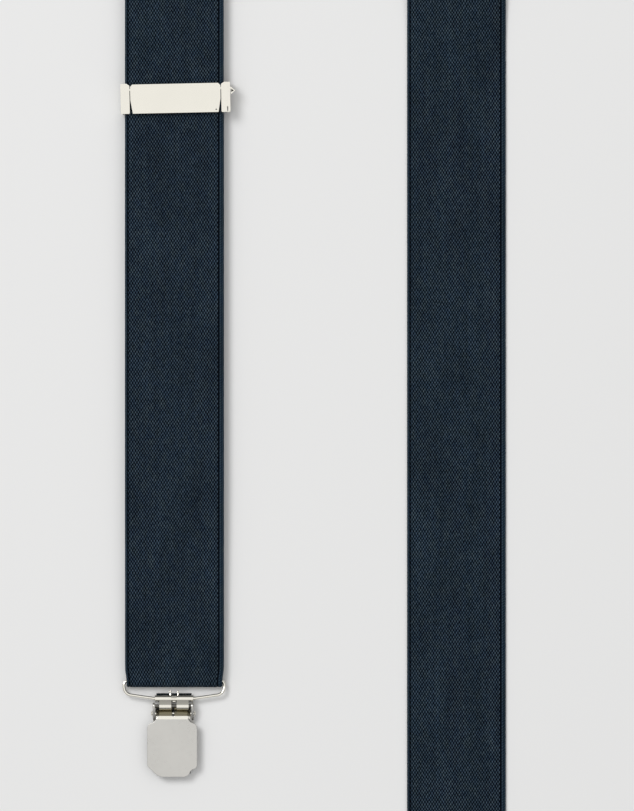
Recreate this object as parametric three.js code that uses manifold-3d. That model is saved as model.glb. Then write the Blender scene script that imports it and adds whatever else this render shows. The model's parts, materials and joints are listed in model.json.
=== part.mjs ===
// Clip-on suspenders with a Y back, laid flat and folded at the shoulders.
// Millimetres, +Z up. Lengths run along Y, the front clips point to -Y, and the webbing rests on z = 0.
// The layout is drawn with y = 0 at the front clips' tips; ORIGIN_Y moves it so that the finished
// object is centred on the origin, with its lowest faces on z = 0.
import * as THREE from 'three';
import { mergeVertices } from 'three/addons/utils/BufferGeometryUtils.js';
import Module from 'manifold-3d';

const wasm = await Module();
wasm.setup();

// ---------- driving dimensions ----------
const ORIGIN_Y = 228.055;        // layout y of the object's own origin
const WEB_W = 35;              // webbing width
const WEB_T = 1.2;             // webbing thickness
const STUD_DROP = 0.95;        // the adjuster cover's stud sits this far below its pivot
const DRAW_IN = 0.045;         // share of its width that the webbing loses where it turns round a bail
const FOLD_R = 1.5;            // centre-line radius where the webbing turns round a wire or a rail
const GAP = 0.3;               // clearance between touching pieces
const FRONT_X = 100;           // front straps' centre lines
const FOLD_EDGE_Y = 31.67;     // lower edge of the front straps
const ADJ_Y = 240.4;           // length adjusters' centre
const ADJ_TILT = 1.2;          // degrees, the adjusters sit a little askew
const SHOULDER_Y = 536;        // front straps fold over here
const SHOULDER_R = 3.4;        // radius of that fold
const YOKE_S = [20.5, 318];    // where a front strap's centre line crosses the yoke
const BACK_SHIFT = -86.7;      // back clip's tip, layout y
const BACK_SPLIT_Y = -16;      // the back strap's sewn end starts here
const REAR_Z = 5.06;           // height over which the rear clip is turned face down
const WIRE_R = 0.54;           // bail wire
const FACE_DX = -0.35;         // the face plate sits a little to one side of its hinge
const LEVER_DX = 0.3;          // and the lever and bail to the other
const BARREL_R = 1.1;          // lever's rolled barrel
const PIN_R = 0.6;             // clip pins
const FACE_W = 17.7, FACE_H = 21.6;
const LOW_Z = WEB_T / 2;                    // centre height of webbing on the floor
const TURN_Z = LOW_Z + FOLD_R;              // centre height of a turn
const TOP_Z = LOW_Z + 2 * FOLD_R;           // centre height of the ply above a turn
const RAIL_R = 1.3;                         // centre-line radius of the tail's turn round the adjuster's rail
const OVER_Z = LOW_Z + 2 * RAIL_R + WEB_T + 0.25;  // front ply where it runs through the adjuster, over the sewn tail

// ---------- materials ----------
const navy = () => new THREE.MeshStandardMaterial({ color: 0x1a2a3a, roughness: 0.92, metalness: 0 });
const leather = () => new THREE.MeshStandardMaterial({ color: 0x10161f, roughness: 0.6, metalness: 0 });
const polished = () => new THREE.MeshStandardMaterial({ color: 0xe6e2d8, roughness: 0.14, metalness: 1 });
const satin = () => new THREE.MeshStandardMaterial({ color: 0xc9c8c2, roughness: 0.36, metalness: 1 });
const springSteel = () => new THREE.MeshStandardMaterial({ color: 0x8d8f92, roughness: 0.3, metalness: 1 });
const plastic = () => new THREE.MeshStandardMaterial({ color: 0x1b1c1e, roughness: 0.55, metalness: 0 });

// ---------- helpers ----------
const root = new THREE.Group();

function strip(geometry) {
  const g = geometry.index ? geometry : geometry;
  g.deleteAttribute('normal');
  g.deleteAttribute('uv');
  return mergeVertices(g, 1e-4);
}
function solid(geometry) {
  const g = strip(geometry);
  return new wasm.Manifold(new wasm.Mesh({
    numProp: 3,
    vertProperties: new Float32Array(g.attributes.position.array),
    triVerts: new Uint32Array(g.index.array),
  }));
}
function surface(manifold) {
  const m = manifold.getMesh();
  const g = new THREE.BufferGeometry();
  g.setAttribute('position', new THREE.BufferAttribute(new Float32Array(m.vertProperties), 3));
  g.setIndex(new THREE.BufferAttribute(new Uint32Array(m.triVerts), 1));
  g.computeVertexNormals();
  return g;
}
const join = (list) => list.map(solid).reduce((a, b) => a.add(b));
const cut = (body, list) => list.map(solid).reduce((a, b) => a.subtract(b), body);

// a polygon in (y, z), extruded along x
function alongX(points, x0, x1) {
  const shape = new THREE.Shape(points.map(([a, b]) => new THREE.Vector2(a, b)));
  const g = new THREE.ExtrudeGeometry(shape, { depth: x1 - x0, bevelEnabled: false });
  g.applyMatrix4(new THREE.Matrix4().set(0, 0, 1, x0, 1, 0, 0, 0, 0, 1, 0, 0, 0, 0, 0, 1));
  return g;
}
// a polygon in (x, y), extruded along z
function alongZ(points, z0, z1, holes = []) {
  const shape = new THREE.Shape(points.map(([a, b]) => new THREE.Vector2(a, b)));
  for (const h of holes) shape.holes.push(new THREE.Path(h.map(([a, b]) => new THREE.Vector2(a, b))));
  const g = new THREE.ExtrudeGeometry(shape, { depth: z1 - z0, bevelEnabled: false });
  g.translate(0, 0, z0);
  return g;
}
function block(x0, x1, y0, y1, z0, z1) {
  const g = new THREE.BoxGeometry(x1 - x0, y1 - y0, z1 - z0);
  g.translate((x0 + x1) / 2, (y0 + y1) / 2, (z0 + z1) / 2);
  return g;
}
function rodX(r, x0, x1, y, z, sides = 20) {
  const g = new THREE.CylinderGeometry(r, r, x1 - x0, sides);
  g.rotateZ(Math.PI / 2);
  g.translate((x0 + x1) / 2, y, z);
  return g;
}
const arc = (cx, cy, r, a0, a1, n) => Array.from({ length: n + 1 }, (_, i) => {
  const a = (a0 + (a1 - a0) * i / n) * Math.PI / 180;
  return [cx + r * Math.cos(a), cy + r * Math.sin(a)];
});
// the outline of a band of thickness t about a centre line in (y, z)
function band(line, t) {
  const left = [], right = [];
  for (let i = 0; i < line.length; i++) {
    const a = line[Math.max(0, i - 1)], b = line[Math.min(line.length - 1, i + 1)];
    const d = Math.hypot(b[0] - a[0], b[1] - a[1]);
    const n = [-(b[1] - a[1]) / d, (b[0] - a[0]) / d];
    left.push([line[i][0] + n[0] * t / 2, line[i][1] + n[1] * t / 2]);
    right.push([line[i][0] - n[0] * t / 2, line[i][1] - n[1] * t / 2]);
  }
  return [...left, ...right.reverse()];
}
const smooth = (x) => { const t = Math.min(1, Math.max(0, x)); return t * t * (3 - 2 * t); };
function add(parent, name, geometry, material) {
  const mesh = new THREE.Mesh(geometry, material);
  mesh.name = name;
  parent.add(mesh);
  return mesh;
}

// ---------- the clip, drawn about x = 0 with its tip at y = 0 ----------
const JAW_PIN = [22.4, 2.0], LEVER_PIN = [25.15, 3.7], BARREL = [27.8, 3.0];
const BAIL_TOP = [FOLD_EDGE_Y + FOLD_R + WEB_T / 2, TURN_Z];

function facePlateOutline() {
  const w = FACE_W / 2, h = FACE_H;
  // scalloped corners, as offsets in from the corner of the full rectangle: the upper pair, then the lower pair
  const upper = [[0, 4.6], [0.08, 3.9], [0.32, 3.2], [0.78, 2.75], [1.4, 2.52], [2.0, 2.3], [2.5, 1.98], [2.9, 1.5], [3.16, 0.9], [3.3, 0.3], [3.34, 0]];
  const lower = [[0, 4.4], [0.1, 3.7], [0.4, 3.2], [1.0, 2.88], [1.7, 2.6], [2.25, 2.15], [2.6, 1.5], [2.95, 0.85], [3.5, 0.4], [4.2, 0.1], [4.8, 0]];
  const p = [];
  for (const [a, b] of lower.slice().reverse()) p.push([w - a, b]);
  for (const [a, b] of upper) p.push([w - a, h - b]);
  for (const [a, b] of upper.slice().reverse()) p.push([-w + a, h - b]);
  p.push([-w, 4.5], [-w + 0.14, 3.8], [-w + 0.73, 3.1], [-w + 1.78, 2.2], [-w + 2.78, 1.2], [-w + 3.81, 0.42], [-w + 5.28, 0]);
  return p;
}
function clip(parent, side, m) {
  const name = (n) => `${side}_${n}`;
  // face plate with a tail bent down behind it and two flanges on the jaw pin
  const face = alongZ(facePlateOutline().map(([x, y]) => [x + m * FACE_DX, y]), 3.4, 4.2);
  const tail = (x0, x1) => alongX([
    [21.2, 3.2], [21.2, 3.9], [21.6, 3.95], [24.6, 1.85], [24.35, 1.52], [21.5, 3.45],
  ], x0, x1);
  const flange = (x0, x1) => alongX([
    [20.4, 3.6], [20.6, 2.6], ...arc(JAW_PIN[0], JAW_PIN[1], 1.0, 200, 360, 8), [23.5, 2.35], [22.2, 3.35], [21.3, 3.8],
  ], x0, x1);
  // the tail's two leaves rise to a point at the middle, and the top edge of the face is eased down to them
  const gable = (s) => alongZ(s > 0 ? [[0.3, 24.7], [5.6, 23.35], [5.6, 26], [0.3, 26]] : [[-0.3, 24.7], [-0.3, 26], [-5.6, 26], [-5.6, 23.35]], 0, 5);
  const ease = alongX([[20.45, 4.2], [21.8, 3.9], [21.8, 4.6], [20.45, 4.6]], -12, 12);
  const leaves = cut(join([tail(-5.2, -0.35), tail(0.35, 5.2)]), [gable(1), gable(-1)]);
  let front = join([face, flange(-6.05, -5.2), flange(5.2, 6.05),
    block(-5.6, 5.6, 20.9, 21.6, 3.4, 4.2)]);
  front = cut(front.add(leaves), [rodX(PIN_R + 0.2, -7, 7, ...JAW_PIN), ease]);
  add(parent, name('front_plate'), surface(front), satin());

  // back plate with two ears that carry both pins
  const w = FACE_W / 2 - 1.0;
  const back = alongZ([
    [-w + 4.4, 0.35], [w - 4.4, 0.35], [w - 2.4, 2.2], [w, 4.6], [w, FACE_H - 6.2], [7.2, FACE_H - 4.6],
    [7.2, 25.0], [6.35, 25.0], [6.35, 22.6], [-6.35, 22.6], [-6.35, 25.0], [-7.2, 25.0],
    [-7.2, FACE_H - 4.6], [-w, FACE_H - 6.2], [-w, 4.6], [-w + 2.4, 2.2],
  ], 0, 0.7);
  const ear = (x0, x1) => alongX([
    [19.8, 0.35], [25.0, 0.35], [25.9, 1.6], [26.3, 3.0], ...arc(LEVER_PIN[0], LEVER_PIN[1], 1.1, 0, 120, 8),
    [22.6, 4.05], [20.3, 2.6],
  ], x0, x1);
  let plate = join([back, ear(6.45, 7.2), ear(-7.2, -6.45)]);
  plate = cut(plate, [rodX(PIN_R + 0.2, -9, 9, ...JAW_PIN), rodX(PIN_R + 0.2, -9, 9, ...LEVER_PIN)]);
  add(parent, name('back_plate'), surface(plate), satin());

  // pins: the jaw pin has domed heads outside the ears, the lever pin ends flush
  const head = [[0, 0], [1.0, 0], [1.0, 0.12], [0.8, 0.36], [0.45, 0.5], [0, 0.55], [0, 0]];
  const dome = (x, s) => {
    const g = new THREE.LatheGeometry(head.map(([a, b]) => new THREE.Vector2(a, b)), 16);
    g.rotateZ(-s * Math.PI / 2);
    g.translate(x, JAW_PIN[0], JAW_PIN[1]);
    return g;
  };
  add(parent, name('jaw_pin'), surface(join([rodX(PIN_R, -7.45, 7.45, ...JAW_PIN), dome(7.4, 1), dome(-7.4, -1)])), polished());
  add(parent, name('lever_pin'), surface(join([rodX(PIN_R, -7.3, 7.3, ...LEVER_PIN)])), polished());

  // lever: a barrel rolled round the bail, a web and two cam lobes on the lever pin
  const lobe = (x0, x1) => alongX([
    ...arc(LEVER_PIN[0], LEVER_PIN[1], 1.35, 68, 250, 18), [24.9, 2.35],
    [26.4, 2.45], [27.2, 2.15], [27.9, 2.2], [27.75, 3.7], [27.2, 4.02],
  ], x0 + m * LEVER_DX, x1 + m * LEVER_DX);
  const prong = (x) => {
    const g = new THREE.CylinderGeometry(0.3, 0.36, 2.2, 12);
    g.rotateX(-0.12);
    g.translate(x + m * LEVER_DX, 29.15, 2.75);
    const tip = new THREE.SphereGeometry(0.42, 12, 8);
    tip.translate(x + m * LEVER_DX, 30.25, 2.62);
    return [g, tip];
  };
  // a narrow lip of the rolled sheet stands out behind the barrel, with two prongs over it
  const lip = alongX([[28.0, 2.2], [28.85, 2.5], [29.55, 1.55], [29.3, 1.3], [28.6, 1.8]], -6.3 + m * LEVER_DX, 6.2 + m * LEVER_DX);
  let lever = join([rodX(BARREL_R, -6.75 + m * LEVER_DX, 6.75 + m * LEVER_DX, ...BARREL, 24), lobe(-5.2, -0.95), lobe(0.95, 5.2),
    alongX([[26.3, 2.6], [27.4, 2.2], [27.4, 3.6], [26.6, 3.7]], -0.5 + m * LEVER_DX, 0.5 + m * LEVER_DX),
    lip, ...prong(-1.35), ...prong(1.35)]);
  lever = cut(lever, [block(-0.95 + m * LEVER_DX, 0.95 + m * LEVER_DX, 27.75, 28.45, 3.55, 5)]);
  lever = cut(lever, [rodX(WIRE_R + 0.18, -9, 9, ...BARREL, 16), rodX(PIN_R + 0.22, -9, 9, ...LEVER_PIN)]);
  add(parent, name('lever'), surface(lever), polished());

  // bail: one wire whose butted ends meet inside the webbing's fold
  const z0 = BAIL_TOP[1], z1 = BARREL[1], y0 = BAIL_TOP[0], y1 = BARREL[0];
  const half = [
    [0.25, y0, z0], [6, y0, z0], [12, y0, z0], [16.2, y0 + 0.02, z0], [17.0, y0 + 0.02, z0], [17.5, y0 - 0.3, z0 + 0.02],
    [17.78, y0 - 1.1, z0 + 0.1], [17.76, y0 - 2.2, z0 + 0.22], [17.4, y0 - 3.4, z0 + 0.4], [16.7, y0 - 4.25, z0 + 0.55],
    [15.8, y0 - 4.7, z0 + 0.65], [14.2, y0 - 4.95, z0 + 0.72], [10.5, y1 + 0.46, z1 - 0.08], [8.2, y1 + 0.16, z1 - 0.02],
    [7.3, y1 + 0.03, z1], [6.4, y1, z1], [3, y1, z1], [0, y1, z1],
  ];
  const path = [...half.map(([x, y, z]) => new THREE.Vector3(x + m * LEVER_DX, y, z)),
    ...half.slice(0, -1).reverse().map(([x, y, z]) => new THREE.Vector3(-x + m * LEVER_DX, y, z))];
  const section = new THREE.Shape(arc(0, 0, WIRE_R, 0, 315, 7).map(([a, b]) => new THREE.Vector2(a, b)));
  const bail = new THREE.ExtrudeGeometry(section, { steps: 72, bevelEnabled: false, extrudePath: new THREE.CatmullRomCurve3(path, false, 'centripetal') });
  add(parent, name('bail'), strip(bail), polished());

  // leaf spring: a V that pushes the jaws apart below the jaw pin
  const leaf = [[15.6, 1.18], [18.5, 1.18], [20.6, 1.2], ...arc(20.9, 1.75, 0.55, -80, 80, 6), [20.3, 2.35], [18.5, 2.62], [16.6, 2.85]];
  add(parent, name('spring'), alongX(band(leaf, 0.3), -2.6, 2.6), springSteel());

  // toothed plastic grips, with a flat land at the tip
  const teeth = (z, h, up) => {
    const pts = [];
    for (let i = 0; i <= 6; i++) { pts.push([4.6 + i * 1.5, z]); if (i < 6) pts.push([4.6 + i * 1.5 + 0.75, z + (up ? h : -h)]); }
    return pts;
  };
  add(parent, name('back_pad'), alongX([[1.2, 1.0], [14.6, 1.0], [14.6, 1.75], ...teeth(1.75, -0.35, true).reverse(), [1.2, 1.75]], -6.2, 6.2), plastic());
  add(parent, name('front_pad'), alongX([[1.2, 3.1], [1.2, 2.1], ...teeth(2.1, -0.4, false), [14.6, 2.1], [14.6, 3.1]], -6.2, 6.2), plastic());
}

// ---------- the length adjuster, drawn about its centre ----------
const RAIL = [-3.0, LOW_Z + RAIL_R];  // the sewn tail turns round this rail
const PIVOT = [3.2, 6.5];             // the cover's hinge line
const FRAME_X = 19.4;
function adjuster(parent, side, tabSide) {
  const z = { plate0: RAIL[1] - 0.28, plate1: RAIL[1] + 0.28, curl0: 6.95, curl1: 7.55 };
  const wall = (s) => alongX([[-5.3, z.plate0], [5.3, z.plate0], [5.35, 4], [5.3, z.curl1 - 0.25], [5.1, z.curl1], [-5.1, z.curl1], [-5.3, z.curl1 - 0.25], [-5.35, 4]],
    s > 0 ? FRAME_X - 0.7 : -FRAME_X, s > 0 ? FRAME_X : -FRAME_X + 0.7);
  const curl = (s) => alongZ(s > 0
    ? [[16.5, -5.35], [FRAME_X - 0.1, -5.3], [FRAME_X - 0.1, 5.3], [17.3, 5.35], [16.22, 4.6], [16.22, -5.1]]
    : [[-FRAME_X + 0.1, -5.3], [-16.5, -5.35], [-16.22, -5.1], [-16.22, 4.6], [-17.3, 5.35], [-FRAME_X + 0.1, 5.3]], z.curl0, z.curl1);
  const plate = alongZ([[-FRAME_X, -5.3], [-18.5, -5.3], [-18.5, RAIL[0] - 0.4], [18.5, RAIL[0] - 0.4], [18.5, -5.3], [FRAME_X, -5.3], [FRAME_X, 5.3], [-FRAME_X, 5.3]],
    z.plate0, z.plate1, [[[-18.3, RAIL[0] + 0.4], [-18.3, RAIL[0] + 2.3], [18.3, RAIL[0] + 2.3], [18.3, RAIL[0] + 0.4]]]);
  let frame = join([plate, wall(1), wall(-1), curl(1), curl(-1)]);
  frame = cut(frame, [block(-25, 25, PIVOT[0] - 1.05, PIVOT[0] + 1.05, PIVOT[1] - 0.47, PIVOT[1] + 0.45)]);
  // the curl on the stud's side is creased along the wall, and the crease opens at its lower end
  frame = cut(frame, [tabSide > 0 ? block(18.36, 18.62, -6, 6, 7.25, 8) : block(-18.62, -18.36, -6, 6, 7.25, 8),
    tabSide > 0 ? block(18.2, 18.62, -5.0, -3.4, 6.8, 8) : block(-18.62, -18.2, -5.0, -3.4, 6.8, 8)]);
  add(parent, `${side}_adjuster_frame`, surface(frame), polished());

  // cover: a plate between the curls, with a rolled lower lip and two hinge tabs under the curls
  let top = solid(alongZ([[-15.15, -5.3], [15.15, -5.3], [15.95, -0.6], [16.0, 4.15], [15.2, 5.0], [-15.2, 5.0], [-16.0, 4.15], [-15.95, -0.6]], z.curl0, z.curl1));
  top = cut(top, [alongZ([[tabSide * 14.35 - 0.3, -4.55], [tabSide * 14.35 + 0.3, -4.55], [tabSide * 14.35, -3.95]], z.curl0 - 1, z.curl1 + 1)]);
  top = cut(top, [block(-20, 20, PIVOT[0] + 0.7, 6, z.curl0 - 1, z.curl0 + 0.35)]);
  const web = alongX([[PIVOT[0] - 0.7, PIVOT[1] - 0.22], [PIVOT[0] + 0.5, PIVOT[1] - 0.22], [PIVOT[0] + 0.65, z.curl0 + 0.1],
    [PIVOT[0] - 1.6, z.curl0 + 0.1], [PIVOT[0] - 2.3, 5.62], [PIVOT[0] - 1.9, 5.56]], -15.2, 15.2);
  const point = [[15, -0.35], [FRAME_X + 0.6, -0.35], [FRAME_X + 0.6, 0.35], [15, 0.35]];
  const flush = [[15, -0.35], [FRAME_X - 0.05, -0.35], [FRAME_X - 0.05, 0.35], [15, 0.35]];
  const tab = (s) => {
    const outline = (s === tabSide ? point : flush).map(([a, b]) => [s * a, b + PIVOT[0]]);
    return alongZ(s > 0 ? outline : outline.reverse(), PIVOT[1] - 0.2, PIVOT[1] + 0.2);
  };
  // outside the frame one tab swells into a pointed stud with a three-sided pit punched in it
  const studOutline = [[FRAME_X + 0.2, -1.4], [21.1, -0.08], [21.1, 0.08], [FRAME_X + 0.2, 1.4]].map(([a, b]) => [tabSide * a, b + PIVOT[0] - STUD_DROP]);
  const stud = alongZ(tabSide > 0 ? studOutline : studOutline.reverse(), PIVOT[1] - 0.45, PIVOT[1] + 0.45);
  const pit = new THREE.CylinderGeometry(0.78, 0.04, 0.8, 3);
  pit.rotateX(Math.PI / 2);
  pit.rotateZ(tabSide * Math.PI / 2);
  pit.translate(tabSide * 20.1, PIVOT[0] - STUD_DROP, PIVOT[1] + 0.2);
  add(parent, `${side}_adjuster_cover`, surface(cut(top.add(join([web, tab(1), tab(-1), stud])), [pit])), polished());
}

// ---------- a front strap's lower length: front ply, turn round the bail, back ply, turn round the rail ----------
function lowerStrap(parent, side, s) {
  const railY = ADJ_Y + RAIL[0];
  const front = [[ADJ_Y - 0.6, OVER_Z], [ADJ_Y - 60, OVER_Z], [108, OVER_Z], [90, OVER_Z - 0.15], [60, TOP_Z + 0.25], [45, TOP_Z], [BAIL_TOP[0] + 5, TOP_Z], [BAIL_TOP[0] + 2.5, TOP_Z], [BAIL_TOP[0], TOP_Z]];
  const turn = arc(BAIL_TOP[0], TURN_Z, FOLD_R, 90, 270, 16).slice(1);
  const back = [[BAIL_TOP[0] + 2.5, LOW_Z], [BAIL_TOP[0] + 5, LOW_Z], [60, LOW_Z], [150, LOW_Z], [railY - 14, LOW_Z], [railY, LOW_Z]];
  const rail = arc(railY, RAIL[1], RAIL_R, -90, 90, 16).slice(1);
  const tail = [[railY - 2, RAIL[1] + RAIL_R], [railY - 5, RAIL[1] + RAIL_R - 0.3], [railY - 9, LOW_Z + WEB_T + GAP + 0.1], [railY - 15, LOW_Z + WEB_T + GAP]];
  const g = alongX(band([...front, ...turn, ...back, ...rail, ...tail], WEB_T), -WEB_W / 2, WEB_W / 2);
  // the upper end follows the adjuster's tilt
  const p = g.attributes.position, k = Math.tan(ADJ_TILT * Math.PI / 180) * -s;
  for (let i = 0; i < p.count; i++) {
    p.setX(i, p.getX(i) * (1 - DRAW_IN * smooth((BAIL_TOP[0] + 5 - p.getY(i)) / 5)));
    p.setY(i, p.getY(i) + p.getX(i) * k * smooth((p.getY(i) - 180) / 45));
  }
  g.translate(s * FRONT_X, 0, 0);
  add(parent, `${side}_lower_strap`, strip(g), navy());
}

// ---------- a front strap from the yoke over the shoulder fold to the adjuster ----------
function upperStrap(parent, side, s) {
  const R = SHOULDER_R;
  let th = 0.35, C0;
  for (let i = 0; i < 20; i++) {
    C0 = [FRONT_X - Math.PI * R * Math.sin(th / 2), SHOULDER_Y];
    th = Math.atan2(C0[0] - YOKE_S[0], C0[1] - YOKE_S[1]);
  }
  const d1 = [Math.sin(th), Math.cos(th)], n1 = [Math.cos(th), -Math.sin(th)];
  const c = [Math.cos(th / 2), -Math.sin(th / 2)], m = [Math.sin(th / 2), Math.cos(th / 2)];
  const run = Math.hypot(C0[0] - YOKE_S[0], C0[1] - YOKE_S[1]);
  const start = -8.5;
  const foldLen = Math.PI * R / Math.cos(th / 2);
  const downLen = (C0[1] - Math.PI * R * Math.tan(th / 2) * Math.sin(th / 2)) - (ADJ_Y + 0.4);
  const end = run + foldLen + downLen;
  const stations = [start, 5, 20, 26, 32, 38, 46, 60, 100, 150, run - 24, run - 12, run - 5];
  for (let l = run - 4; l < run + foldLen + 4.2; l += 1.05) stations.push(l);
  for (const y of [505, 490, 475, 460, 445, 430, 415, 400, 385, 370, 355, 340, 325, 310, 300, 280, 260]) stations.push(end - (y - ADJ_Y - 0.4));
  stations.push(end);
  stations.sort((a, b) => a - b);
  const N = stations.length - 1;
  const g = new THREE.BoxGeometry(WEB_W, N, WEB_T, 4, N, 1);
  const p = g.attributes.position;
  const upZ = (y) => {
    const shoulder = LOW_Z + 2 * R;
    const fromTop = shoulder + (LOW_Z - shoulder) * smooth((SHOULDER_Y - y) / 120);
    const toAdj = (OVER_Z - LOW_Z) * smooth((400 - y) / 90);
    return fromTop + toAdj;
  };
  const k = Math.tan(ADJ_TILT * Math.PI / 180);
  for (let i = 0; i < p.count; i++) {
    const u = p.getX(i) * s, l = stations[Math.round(p.getY(i) + N / 2)], n = p.getZ(i);
    const a0 = [(l - run) * d1[0] + u * n1[0], (l - run) * d1[1] + u * n1[1]];
    const a = a0[0] * c[0] + a0[1] * c[1], b = a0[0] * m[0] + a0[1] * m[1];
    let q, z;
    if (b <= 0) {
      q = b;
      z = LOW_Z + (2.1 - LOW_Z) * (1 - smooth((l - 24) / 24)) + n;
    } else if (b < Math.PI * R) {
      const f = b / R;
      q = R * Math.sin(f) - n * Math.sin(f);
      z = LOW_Z + R * (1 - Math.cos(f)) + n * Math.cos(f);
    } else {
      q = -(b - Math.PI * R);
      z = null;
    }
    let x = C0[0] + a * c[0] + q * m[0], y = C0[1] + a * c[1] + q * m[1];
    if (z === null) {
      z = upZ(y) - n;
      y -= k * (x - FRONT_X) * smooth((300 - y) / 45);
    }
    p.setXYZ(i, s * x, y, z);
  }
  add(parent, `${side}_strap`, strip(g), navy());
  return { theta: th, length: end - start, C0 };
}

// ---------- back strap, its sewn end, and the yoke ----------
function backStrap(parent) {
  const line = [[BACK_SPLIT_Y + 0.3, LOW_Z], [60, LOW_Z], [180, LOW_Z], [250, LOW_Z], [262, LOW_Z + 0.25], [272, LOW_Z + 0.9], [281, 2.02], [287, 2.1], [300.5, 2.1]];
  add(parent, 'back_strap', alongX(band(line, WEB_T), -WEB_W / 2, WEB_W / 2), navy());
  const y0 = BAIL_TOP[0] + BACK_SHIFT;
  const zc = REAR_Z - TURN_Z, low = zc - FOLD_R;
  const end = [[BACK_SPLIT_Y - 0.3, LOW_Z], [y0 + 20, LOW_Z], [y0 + 15, LOW_Z + 0.12], [y0 + 8, LOW_Z + 0.6], [y0 + 3, low], [y0, low]];
  const turn = arc(y0, zc, FOLD_R, 270, 90, 16).slice(1);
  const ply = [[y0 + 3, zc + FOLD_R], [y0 + 6, zc + FOLD_R - 0.35], [y0 + 12, LOW_Z + WEB_T + GAP + 0.6], [y0 + 18, LOW_Z + WEB_T + GAP + 0.05], [y0 + 24, LOW_Z + WEB_T + GAP], [BACK_SPLIT_Y - 5.5, LOW_Z + WEB_T + GAP]];
  const loop = alongX(band([...end, ...turn, ...ply], WEB_T), -WEB_W / 2, WEB_W / 2);
  const q = loop.attributes.position;
  for (let i = 0; i < q.count; i++) q.setX(i, q.getX(i) * (1 - DRAW_IN * smooth((y0 + 5 - q.getY(i)) / 5)));
  add(parent, 'back_loop', strip(loop), navy());
}
function yoke(parent) {
  const right = [[19.2, 286], [20.0, 288], [20.6, 295], [23.5, 299.2], [33.5, 301.2], [36.6, 303.6], [38.4, 307], [47.3, 331.4], [46.4, 334.4], [13.4, 346.8], [10.8, 346.0], [1.6, 334.6]];
  const outline = [...right, ...right.slice().reverse().map(([x, y]) => [-x, y])];
  add(parent, 'yoke_outer_patch', alongZ(outline, 0, 1.2), leather());
  add(parent, 'yoke_inner_patch', alongZ(outline, 3.0, 4.2), leather());
}

// ---------- assembly ----------
for (const [side, s] of [['left', -1], ['right', 1]]) {
  const front = new THREE.Group();
  front.position.set(s * (FRONT_X + 0.44), 0, 0);
  clip(front, side, -s);
  root.add(front);
  const adj = new THREE.Group();
  adj.position.set(s * (FRONT_X - 0.45), ADJ_Y, 0);
  adj.rotation.z = -s * ADJ_TILT * Math.PI / 180;
  adjuster(adj, side, -s);
  root.add(adj);
  lowerStrap(root, side, s);
  upperStrap(root, side, s);
}
const rear = new THREE.Group();
rear.rotation.y = Math.PI;
rear.position.set(0, BACK_SHIFT, REAR_Z);
clip(rear, 'back', 1);
root.add(rear);
backStrap(root);
yoke(root);
root.position.y = -ORIGIN_Y;

export default root;
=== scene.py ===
import bpy, bmesh, math, json
import numpy as np
from mathutils import Vector, Matrix

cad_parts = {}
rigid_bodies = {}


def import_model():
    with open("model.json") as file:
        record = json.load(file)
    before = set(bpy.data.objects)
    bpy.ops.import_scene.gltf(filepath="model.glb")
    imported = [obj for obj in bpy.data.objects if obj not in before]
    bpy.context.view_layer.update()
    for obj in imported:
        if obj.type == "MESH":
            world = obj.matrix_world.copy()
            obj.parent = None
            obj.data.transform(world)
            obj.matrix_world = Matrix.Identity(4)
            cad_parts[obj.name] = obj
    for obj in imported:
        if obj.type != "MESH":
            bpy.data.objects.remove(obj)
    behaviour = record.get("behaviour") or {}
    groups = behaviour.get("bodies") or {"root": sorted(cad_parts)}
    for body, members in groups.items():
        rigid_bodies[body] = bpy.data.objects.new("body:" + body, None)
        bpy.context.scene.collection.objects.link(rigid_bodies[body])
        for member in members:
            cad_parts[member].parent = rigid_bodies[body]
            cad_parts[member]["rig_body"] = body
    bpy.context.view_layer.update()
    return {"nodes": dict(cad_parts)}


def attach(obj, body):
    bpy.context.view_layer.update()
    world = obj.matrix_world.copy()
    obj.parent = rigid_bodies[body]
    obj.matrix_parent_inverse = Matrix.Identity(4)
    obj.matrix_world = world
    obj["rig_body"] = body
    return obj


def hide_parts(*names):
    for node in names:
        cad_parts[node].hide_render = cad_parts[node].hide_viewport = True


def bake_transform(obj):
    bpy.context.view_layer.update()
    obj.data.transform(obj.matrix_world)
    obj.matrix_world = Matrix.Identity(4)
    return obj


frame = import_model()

# ------------------------------------------------------------------ layout
# Positions are drawn in millimetres with y = 0 at the front clips' tips; OY moves them to the object's own origin.
OY = 228.055
WEB_W, WEB_T, FOLD_R = 35.0, 1.2, 1.5
FRONT_X, FOLD_EDGE_Y, ADJ_Y, ADJ_TILT = 100.0, 31.67, 240.4, math.radians(1.2)
SHOULDER_Y, SHOULDER_R = 536.0, 3.4
YOKE_S = (20.5, 318.0)
BACK_SHIFT, BACK_SPLIT_Y, REAR_Z = -86.7, -16.0, 5.06
LOW_Z = WEB_T / 2
TURN_Z, TOP_Z = LOW_Z + FOLD_R, LOW_Z + 2 * FOLD_R
RAIL_R = 1.3
OVER_Z = LOW_Z + 2 * RAIL_R + WEB_T + 0.25
RAIL_Y = ADJ_Y - 3.0
BAIL_Y = FOLD_EDGE_Y + FOLD_R + WEB_T / 2


def pt(x, y, z):
    return (x / 1000.0, (y - OY) / 1000.0, z / 1000.0)


def smooth(x):
    t = min(1.0, max(0.0, x))
    return t * t * (3 - 2 * t)


# ------------------------------------------------------------------ camera
cam_data = bpy.data.cameras.new("camera")
cam = bpy.data.objects.new("camera", cam_data)
bpy.context.scene.collection.objects.link(cam)
CAM_D = 1.9
PX = 0.35425
cx, cy = (317.0 - 174.4) * PX - 100.0, (777.0 - 405.5) * PX
cam.location = pt(cx, cy, CAM_D * 1000 + 4.0)
cam.rotation_euler = (0, 0, 0)
cam_data.sensor_fit = "VERTICAL"
cam_data.sensor_height = 24.0
cam_data.lens = 24.0 * CAM_D / (811 * PX / 1000.0)
cam_data.clip_end = 50
bpy.context.scene.camera = cam
bpy.context.scene.view_settings.view_transform = "Standard"


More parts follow.
